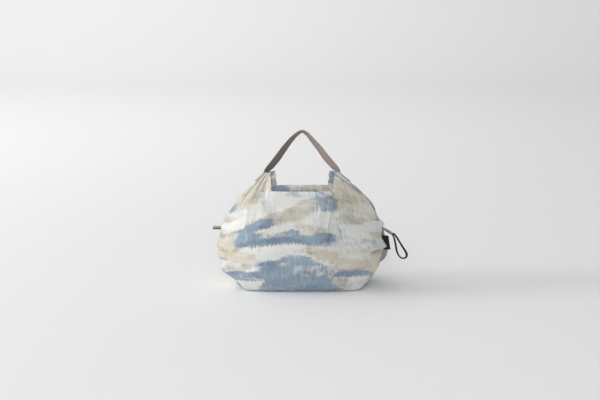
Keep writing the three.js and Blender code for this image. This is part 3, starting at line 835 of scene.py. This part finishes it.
def make_stitch_tree():
    """Geometry Nodes that lay a small rounded stitch at every pitch along a mesh's edges."""
    tree = bpy.data.node_groups.new("stitches", "GeometryNodeTree")
    kinds = {"Seams": "Geometry", "Finish": "Material"} | dict.fromkeys(STITCH, "Float")
    for name, kind in kinds.items():
        tree.interface.new_socket(name, in_out="INPUT", socket_type="NodeSocket" + kind)
    tree.interface.new_socket("Stitches", in_out="OUTPUT", socket_type="NodeSocketGeometry")
    add = partial(add_node, tree)
    given = add("NodeGroupInput", {}, output=None)
    seam = add("GeometryNodeMeshToCurve", {"Mesh": given["Seams"]})
    pitch = {"Curve": seam, "Length": given["Pitch"]}
    points = add("GeometryNodeResampleCurve", pitch, mode="LENGTH")
    sizes = {"X": given["Length"], "Y": given["Thread"], "Z": given["Thread"]}
    size = add("ShaderNodeCombineXYZ", sizes)
    half = add("ShaderNodeVectorMath", {0: size, "Scale": 0.5}, operation="SCALE")
    ball = add("GeometryNodeMeshUVSphere", {"Segments": 8, "Rings": 5, "Radius": 1.0})
    stitch = add("GeometryNodeTransform", {"Geometry": ball, "Scale": half})
    tangent = add("GeometryNodeInputTangent", {})
    turn = add("FunctionNodeAlignRotationToVector", {"Vector": tangent}, axis="X")
    places = {"Points": points, "Instance": stitch, "Rotation": turn}
    laid = add("GeometryNodeInstanceOnPoints", places)
    real = add("GeometryNodeRealizeInstances", {"Geometry": laid})
    rounded = add("GeometryNodeSetShadeSmooth", {"Geometry": real})
    finished = add("GeometryNodeSetMaterial", {"Geometry": rounded, "Material": given["Finish"]})
    add("NodeGroupOutput", {"Stitches": finished}, output=None)
    return tree


def sew(name, lines, kind, finish):
    """Rows of stitches along lines of points."""
    vertices, edges = [], []
    for line in lines:
        first = len(vertices)
        vertices += (np.asarray(line) * MM).tolist()
        edges += [(first + i, first + i + 1) for i in range(len(line) - 1)]
    mesh = bpy.data.meshes.new(name)
    mesh.from_pydata(vertices, edges, [])
    obj = bpy.data.objects.new(name, mesh)
    bpy.context.scene.collection.objects.link(obj)
    modifier = obj.modifiers.new("stitches", "NODES")
    modifier.node_group = stitch_tree
    values = {key: value * MM for key, value in kind.items()} | {"Finish": finish}
    for item in stitch_tree.interface.items_tree:
        if item.in_out == "INPUT" and item.name in values:
            modifier[item.identifier] = values[item.name]
    finish_modifiers(obj)
    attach(obj, "root")


PROBE = {"across": 0.004, "up": 0.5}  # steps that find how a surface lies
THREAD_LIFT = {"cloth": 0.15, "handle": 0.1, "tab": 0.08}
HEM_SEAM = {"above_hem": 1.2, "gusset": 292.8}
CUFF_SEAM = {"height": 101.5, "from": 0.88, "to": 0.985}
HANDLE_BOX = {"half": 9.5, "bottom": 281, "top": 300}
TAB_SEAM_HALF = 8.5


def on_surface(surface, a, b, out):
    """A line of points on a surface of two parameters, lifted off it towards out."""
    a, b = np.broadcast_arrays(np.asarray(a, float), np.asarray(b, float))
    across = surface(a + PROBE["across"], b) - surface(a - PROBE["across"], b)
    along = surface(a, b + PROBE["up"]) - surface(a, b - PROBE["up"])
    normal = unit(np.cross(across, along))
    facing = np.sign((normal * np.asarray(out, float)).sum(-1, keepdims=True))
    return surface(a, b) + normal * facing * THREAD_LIFT["cloth"]


def make_hem_stitches():
    """One row round the mouth, above the lower line of its hem."""
    lines = []
    across = np.linspace(-0.985, 0.985, 260)
    height = hem_line(across) + HEM_SEAM["above_hem"]
    for face in (-1, 1):
        lines.append(on_surface(partial(panel_points, face), across, height, (0, face, 0)))
    t = np.linspace(-0.95, 0.95, 30)
    for hand in (-1, 1):
        surface = partial(gusset_points, hand)
        lines.append(on_surface(surface, t, HEM_SEAM["gusset"], (hand, 0, 0)))
    sew("hem_stitches", lines, STITCH, cloth_thread)


def make_cuff_stitches():
    """Short dense rows that hold the gussets' folds closed at the foot of each cuff."""
    lines = []
    for hand in (-1, 1):
        across = hand * np.linspace(CUFF_SEAM["from"], CUFF_SEAM["to"], 24)
        for face in (-1, 1):
            surface = partial(panel_points, face)
            lines.append(on_surface(surface, across, CUFF_SEAM["height"], (0, face, 0)))
    sew("cuff_bartacks", lines, BARTACK, dark_thread)


def make_handle_stitches():
    """A box of stitches on each sewn end of the handle."""
    lines = []
    sides = np.linspace(HANDLE_BOX["bottom"], HANDLE_BOX["top"], 12)
    half = HANDLE_BOX["half"]
    for hand in (-1, 1):
        centre, width, normal = sewn_stations(hand, sides)
        out = np.sign(normal[:, :1] * hand) * normal
        face = centre + out * (WEBBING["thick"] / 2 + THREAD_LIFT["handle"])
        lines += [face - width * half, face + width * half]
        for row in (0, -1):
            lines.append(face[row] + width[row] * np.linspace(-half, half, 8)[:, None])
    sew("handle_stitches", lines, STITCH, webbing_thread)


def make_tab_stitches():
    """A row across each layer of the tabs, just outside the cuffs."""
    lines = []
    for tab in TABS.values():
        centre, width, normal = tab_stations(tab)
        for near, side in ((5, 1), (-6, -1)):
            up = normal[near] * np.sign(normal[near][2]) * side
            middle = centre[near] + up * (TAB["thick"] / 2 + THREAD_LIFT["tab"])
            row = np.linspace(-TAB_SEAM_HALF, TAB_SEAM_HALF, 8)[:, None]
            lines.append(middle + width[near] * row)
    sew("tab_stitches", lines, STITCH, webbing_thread)


# Materials


class Nodes:
    """A short way to build a material's node tree."""

    def __init__(self, name):
        self.material = bpy.data.materials.new(name)
        self.material.use_nodes = True
        self.tree = self.material.node_tree
        self.tree.nodes.clear()
        self.shader = self.tree.nodes.new("ShaderNodeBsdfPrincipled")
        self.node("OutputMaterial", {"Surface": self.shader.outputs["BSDF"]}, output=None)

    def set(self, **sockets):
        """Sets the shader's sockets, named with _ for each space."""
        for name, value in sockets.items():
            put(self.tree, self.shader.inputs[name.replace("_", " ")], value)

    def node(self, kind, inputs, output=0, **settings):
        return add_node(self.tree, "ShaderNode" + kind, inputs, output, **settings)

    def math(self, operation, *values):
        return self.node("Math", dict(enumerate(values)), operation=operation)

    def uv(self):
        """The two lengths of a piece's UV map, in metres."""
        uv = self.node("UVMap", {}, uv_map="cloth")
        parts = self.node("SeparateXYZ", {0: uv}, output=None)
        return parts["X"], parts["Y"]

    def scaled(self, x, x_scale, y, y_scale, seed=0.0):
        """A place on the cloth, stretched by a scale each way, in a slice of its own."""
        place = {"X": self.math("MULTIPLY", x, x_scale), "Y": self.math("MULTIPLY", y, y_scale)}
        return self.node("CombineXYZ", place | {"Z": seed})

    def wave(self, value, pitch):
        """A sine wave from -1 to 1, of one pitch in metres."""
        return self.math("SINE", self.math("MULTIPLY", value, 2 * math.pi / pitch))

    def ridges(self, value, pitch, above):
        """Narrow lines a pitch apart."""
        return self.range(self.wave(value, pitch), above, 1.0)

    def noise(self, vector, detail=2.0, roughness=0.5, scale=1.0):
        inputs = {"Vector": vector, "Scale": scale, "Detail": detail, "Roughness": roughness}
        return self.node("TexNoise", inputs)

    def range(self, value, low, high):
        """From 0 at low to 1 at high, in a smooth step."""
        inputs = {"Value": value, "From Min": low, "From Max": high}
        return self.node("MapRange", inputs, interpolation_type="SMOOTHSTEP")

    def mix(self, factor, a, b):
        """Two colours mixed: a Mix node's inputs 6 and 7, and its output 2."""
        return self.node("Mix", {0: factor, 6: a, 7: b}, output=2, data_type="RGBA")

    def bump(self, height, distance, strength=1.0, normal=None):
        inputs = {"Height": height, "Distance": distance, "Strength": strength}
        if normal is not None:
            inputs["Normal"] = normal
        return self.node("Bump", inputs)


PRINT = {
    "white": (0.87, 0.88, 0.83),
    "cool_white": (0.71, 0.74, 0.78),
    "tan": (0.61, 0.545, 0.43),
    "olive": (0.33, 0.295, 0.20),
    "blue": (0.195, 0.30, 0.42),
    "deep_blue": (0.085, 0.15, 0.245),
}
THICK_THREAD = (0.30, 0.29, 0.27)
PATCH = {"across": 0.105, "up": 0.031}  # metres, the print's usual patch
# Where each piece of cloth lies in the print, in metres across and up. The gussets are placed so that
# deep blue print (right) and olive print (left) fall in their recesses: print, standing in partly for
# painted shade there.
PRINT_AT = {"body": (0.48, 0.22), "left": (1.79, 0.56), "right": (1.52, 0.807)}
THREAD = {"grid": 0.0062, "weave": 0.0011}  # metres between threads
# Noises over the cloth: spots a metre across and up, a slice, detail and roughness.
GRAIN = {
    "streak": (230.0, 16.0, 0.0, 2.0, 0.55),
    "fine": (560.0, 26.0, 9.0, 2.0, 0.6),
    "cloud": (34.0, 60.0, 5.0, 2.0, 0.5),
    "wander": (9.0, 20.0, 4.0, 1.0, 0.5),
    "crinkle": (30.0, 42.0, 2.0, 5.0, 0.6),
}
# How brushed the edges of each colour's patches are, and where they start and are full.
DABS = {
    "tan": (0.9, 0.30, 0.68),
    "olive": (0.6, 0.48, 0.88),
    "blue": (0.9, 0.48, 0.80),
    "deep_blue": (0.9, 0.35, 1.0),
    "cool_white": (0.4, 0.35, 0.75),
}
COVER = {"cool_white": 0.5, "tan": 0.9, "blue": 0.92, "dry": 0.34, "worn": 0.22, "grid": 0.1}
SMEAR = {"wander": 0.07, "cloud": 0.03, "brush": 0.036}  # metres that patches are drawn out by


def make_print_cloth():
    """Thin plain-woven cloth with a generic cloudy print in whites, tans and blues."""
    n = Nodes("printed cloth")
    u, v = n.uv()

    def grain(name):
        across, up, seed, detail, roughness = GRAIN[name]
        return n.noise(n.scaled(u, across, v, up, seed), detail, roughness)

    fine = grain("fine")
    cloud = grain("cloud")
    brush = n.math("MULTIPLY_ADD", fine, 0.55, n.math("MULTIPLY", grain("streak"), 0.45))
    stroke = n.math("SUBTRACT", brush, 0.5)
    drawn_out = n.math("MULTIPLY_ADD", cloud, SMEAR["cloud"], u)
    patch_u = n.math("MULTIPLY_ADD", grain("wander"), SMEAR["wander"], drawn_out)
    patch_v = n.math("MULTIPLY_ADD", stroke, SMEAR["brush"], v)

    def patches(across, up, seed):
        """Two values for each patch of a layer of patches, whose size is a share of the usual."""
        scales = 1 / (across * PATCH["across"]), 1 / (up * PATCH["up"])
        place = n.scaled(patch_u, scales[0], patch_v, scales[1], seed)
        inputs = {"Vector": place, "Scale": 1.0, "Smoothness": 0.5, "Randomness": 0.8}
        settings = {"feature": "SMOOTH_F1", "distance": "CHEBYCHEV"}
        colour = n.node("TexVoronoi", inputs, output=1, **settings)
        split = n.node("SeparateColor", {"Color": colour}, output=None)
        return split["Red"], split["Green"]

    def dabs(name, value):
        """Where a colour covers the cloth, with brushed and cloudy edges."""
        amount, low, high = DABS[name]
        value = n.math("MULTIPLY_ADD", stroke, amount, value)
        value = n.math("MULTIPLY_ADD", n.math("SUBTRACT", cloud, 0.5), 0.45, value)
        return n.range(value, low, high)

    def cover(under, name, mask, colour):
        return n.mix(n.math("MULTIPLY", mask, COVER[name]), under, colour)

    tan_value, blue_value = patches(1.0, 1.0, 3.3)
    tone_value, cool_value = patches(0.8, 0.9, 17.9)
    tan = n.mix(dabs("olive", tone_value), PRINT["tan"], PRINT["olive"])
    blue = n.mix(dabs("deep_blue", cool_value), PRINT["blue"], PRINT["deep_blue"])
    cool_mask = dabs("cool_white", cool_value)
    colour = cover(PRINT["white"], "cool_white", cool_mask, PRINT["cool_white"])
    colour = cover(colour, "tan", dabs("tan", tan_value), tan)
    colour = cover(colour, "blue", dabs("blue", blue_value), blue)
    colour = cover(colour, "dry", n.range(fine, 0.5, 0.7), PRINT["white"])
    colour = cover(colour, "worn", n.range(fine, 0.5, 0.3), PRINT["olive"])
    grid = n.math("MAXIMUM", n.ridges(u, THREAD["grid"], 0.8), n.ridges(v, THREAD["grid"], 0.8))
    colour = cover(colour, "grid", grid, THICK_THREAD)
    weave = n.math("MULTIPLY", n.wave(u, THREAD["weave"]), n.wave(v, THREAD["weave"]))
    normal = n.bump(grain("crinkle"), 0.005, 0.8)
    normal = n.bump(grid, 0.0002, 0.5, normal)
    normal = n.bump(weave, 0.00012, 0.5, normal)
    n.set(Base_Color=colour, Roughness=0.6, Normal=normal)
    n.set(Sheen_Weight=0.1, Sheen_Roughness=0.4, Specular_IOR_Level=0.35)
    n.set(Subsurface_Weight=0.7, Subsurface_Radius=(1.0, 1.0, 1.0), Subsurface_Scale=0.003)
    return n.material


WEBBING_WEAVE = {"rib": 0.0016, "pick": 0.0022}  # metres apart
# Colours of the webbing; the hollows' colour is painted shade of the weave, and the darkest one
# painted shade of the handle's left leg.
WEBBING_COLOURS = {
    "dark": (0.27, 0.205, 0.18),
    "light": (0.43, 0.345, 0.31),
    "painted_shade": (0.105, 0.085, 0.07),
    "groove_shade": (0.12, 0.09, 0.075),
}
# Painted shade: the left end of the handle is darker than the rest, standing in for the shade on its
# left leg's inner face: metres along it from its right end.
SHADED_LEFT_LEG = {"from": 0.15, "to": 0.24, "amount": 0.6}


def make_webbing():
    """Brown webbing with a fine herringbone of ribs along it, with painted shade in the hollows of its
    weave and on the handle's left leg.
    """
    n = Nodes("brown webbing")
    along, across = n.uv()
    ribs = n.wave(across, WEBBING_WEAVE["rib"])
    run = n.math("MULTIPLY", along, 2 * math.pi / WEBBING_WEAVE["pick"])
    picks = n.math("SINE", n.math("ADD", run, n.math("MULTIPLY", ribs, 0.9)))
    height = n.math("ADD", n.math("MULTIPLY", ribs, 0.5), n.math("MULTIPLY", picks, 0.5))
    tone = n.noise(n.scaled(along, 60.0, across, 700.0), 3.0)
    colour = n.mix(n.range(tone, 0.3, 0.75), WEBBING_COLOURS["dark"], WEBBING_COLOURS["light"])
    # Painted shade over the handle's left leg, blended in along its length.
    shade_share = n.math("MULTIPLY", n.range(along, SHADED_LEFT_LEG["from"], SHADED_LEFT_LEG["to"]), SHADED_LEFT_LEG["amount"])
    colour = n.mix(shade_share, colour, WEBBING_COLOURS["painted_shade"])
    # Painted shade: darker in the hollows of the weave, where its bump is low.
    groove_shade = n.math("MULTIPLY", n.math("SUBTRACT", 1.0, n.range(height, -0.9, 0.2)), 0.4)
    colour = n.mix(groove_shade, colour, WEBBING_COLOURS["groove_shade"])
    n.set(Base_Color=colour, Roughness=0.78, Normal=n.bump(height, 0.0003, 0.8))
    n.set(Sheen_Weight=0.25, Sheen_Roughness=0.5, Specular_IOR_Level=0.3)
    return n.material


ELASTIC_WEAVE = {"rib": 0.0011, "pick": 0.0012}
# The hollows' colour is painted shade between the ribs, and the ribs' colour a painted lighter top.
ELASTIC_COLOURS = {"groove_shade": (0.006, 0.006, 0.005), "rib": (0.024, 0.022, 0.020)}


def make_elastic_cloth():
    """Black ribbed elastic, with painted shade between its ribs."""
    n = Nodes("black elastic")
    along, across = n.uv()
    picks = n.math("MULTIPLY", n.wave(along, ELASTIC_WEAVE["pick"]), 0.4)
    height = n.math("ADD", n.wave(across, ELASTIC_WEAVE["rib"]), picks)
    # Painted shade: darker in the hollows between the ribs, lighter on their tops.
    rib = n.range(height, -1.0, 1.2)
    colour = n.mix(rib, ELASTIC_COLOURS["groove_shade"], ELASTIC_COLOURS["rib"])
    n.set(Base_Color=colour, Roughness=0.65, Normal=n.bump(height, 0.0002, 0.8))
    n.set(Sheen_Weight=0.08, Sheen_Roughness=0.4, Specular_IOR_Level=0.25)
    return n.material


LABEL_THREAD = 0.0007
# The hollows' colour is painted shade between the threads.
LABEL_COLOURS = {"groove_shade": (0.004, 0.004, 0.005), "thread": (0.010, 0.010, 0.012)}


def make_label_tape():
    """Plain black woven tape, with painted shade between its threads."""
    n = Nodes("black label tape")
    u, v = n.uv()
    height = n.math("MULTIPLY", n.wave(u, LABEL_THREAD), n.wave(v, LABEL_THREAD))
    # Painted shade: darker where the weave is low.
    thread = n.range(height, -1.0, 1.0)
    colour = n.mix(thread, LABEL_COLOURS["groove_shade"], LABEL_COLOURS["thread"])
    n.set(Base_Color=colour, Roughness=0.6, Normal=n.bump(height, 0.0001, 0.6))
    n.set(Sheen_Weight=0.04, Sheen_Roughness=0.4, Specular_IOR_Level=0.25)
    return n.material


def make_thread(name, colour):
    """Twisted sewing thread, with its twist in the thread's own coordinates."""
    n = Nodes(name)
    place = n.node("TexCoord", {}, output=None)["Object"]
    twist = n.noise(place, 2.0, 0.5, 900.0)
    dark = tuple(0.7 * value for value in colour)
    n.set(Base_Color=n.mix(twist, dark, colour), Roughness=0.55, Normal=n.bump(twist, 0.0001, 0.5))
    n.set(Sheen_Weight=0.2, Sheen_Roughness=0.4, Specular_IOR_Level=0.4)
    return n.material


print_cloth = make_print_cloth()
cloth_thread = make_thread("pale thread", (0.66, 0.64, 0.58))
dark_thread = make_thread("slate thread", (0.13, 0.15, 0.17))
webbing_thread = make_thread("brown thread", (0.24, 0.185, 0.155))
webbing = make_webbing()
elastic = make_elastic_cloth()
label_tape = make_label_tape()

# The bag

make_elastic()
make_bag_cloth()
make_gusset("left")
make_gusset("right")
make_handle()
make_tab("left")
make_tab("right")
make_label()
stitch_tree = make_stitch_tree()
make_hem_stitches()
make_cuff_stitches()
make_handle_stitches()
make_tab_stitches()

# Floor, backdrop and light

LIGHTS = {
    "key": {"place": (-5.4, -0.28, 1.52), "aim": (0, 0, 0.1), "size": (1.45, 0.95), "power": 165},
    "front fill": {"place": (-0.6, -5.2, 2.75), "aim": (0, 0, 0.1), "size": (3.2, 1.8), "power": 100},
    "backdrop light": {"place": (-4.2, 1.2, 3.2), "aim": (1, 6, 1.6), "size": (2, 2), "power": 44},
    "overhead": {"place": (-1.4, 2.4, 3.4), "aim": (-0.6, 5.8, 0), "size": (2, 2), "power": 32},
}
SKY = {"strength": 0.6, "slope": 0.7}
FLOOR = {"half_width": 9.0, "near": -6.0, "far": 4.0, "bend": 2.5, "top": 7.0}


def make_backdrop():
    """A seamless pale floor that curves up behind the bag."""
    flat = [(FLOOR["near"], 0.0), (FLOOR["far"], 0.0)]
    turn = [
        (FLOOR["far"] + FLOOR["bend"] * math.sin(a), FLOOR["bend"] * (1 - math.cos(a)))
        for a in np.radians(np.arange(5, 91, 5))
    ]
    profile = flat + turn + [(FLOOR["far"] + FLOOR["bend"], FLOOR["top"])]
    edges = (-FLOOR["half_width"], FLOOR["half_width"])
    points = np.array([(x, y, z) for y, z in profile for x in edges])
    obj = new_object("floor", points / MM, grid_faces(len(profile), 2, flip=True))
    n = Nodes("pale floor")
    n.set(Base_Color=(0.80, 0.80, 0.80), Roughness=0.75, Specular_IOR_Level=0.2)
    obj.data.materials.append(n.material)


def area_light(name, place, aim, size, power):
    data = bpy.data.lights.new(name, "AREA")
    data.shape = "RECTANGLE"
    data.size, data.size_y = size
    data.energy = power
    light = bpy.data.objects.new(name, data)
    bpy.context.scene.collection.objects.link(light)
    direction = Vector(aim) - Vector(place)
    rotation = direction.to_track_quat("-Z", "Y").to_matrix().to_4x4()
    light.matrix_world = Matrix.Translation(place) @ rotation


def make_room_light():
    """White light from all around, stronger from the left than from the right."""
    world = bpy.data.worlds.new("studio")
    world.use_nodes = True
    tree = world.node_tree
    background = tree.nodes["Background"]
    background.inputs["Color"].default_value = (1, 1, 1, 1)
    add = partial(add_node, tree)
    direction = add("ShaderNodeTexCoord", {}, output=None)["Generated"]
    values = {0: add("ShaderNodeSeparateXYZ", {0: direction})}
    values |= {1: -SKY["strength"] * SKY["slope"], 2: SKY["strength"]}
    strength = add("ShaderNodeMath", values, operation="MULTIPLY_ADD")
    put(tree, background.inputs["Strength"], strength)
    return world


def light_studio():
    for name, light in LIGHTS.items():
        area_light(name, **light)
    bpy.context.scene.world = make_room_light()
    bpy.context.scene.view_settings.view_transform = "Standard"


make_backdrop()
light_studio()
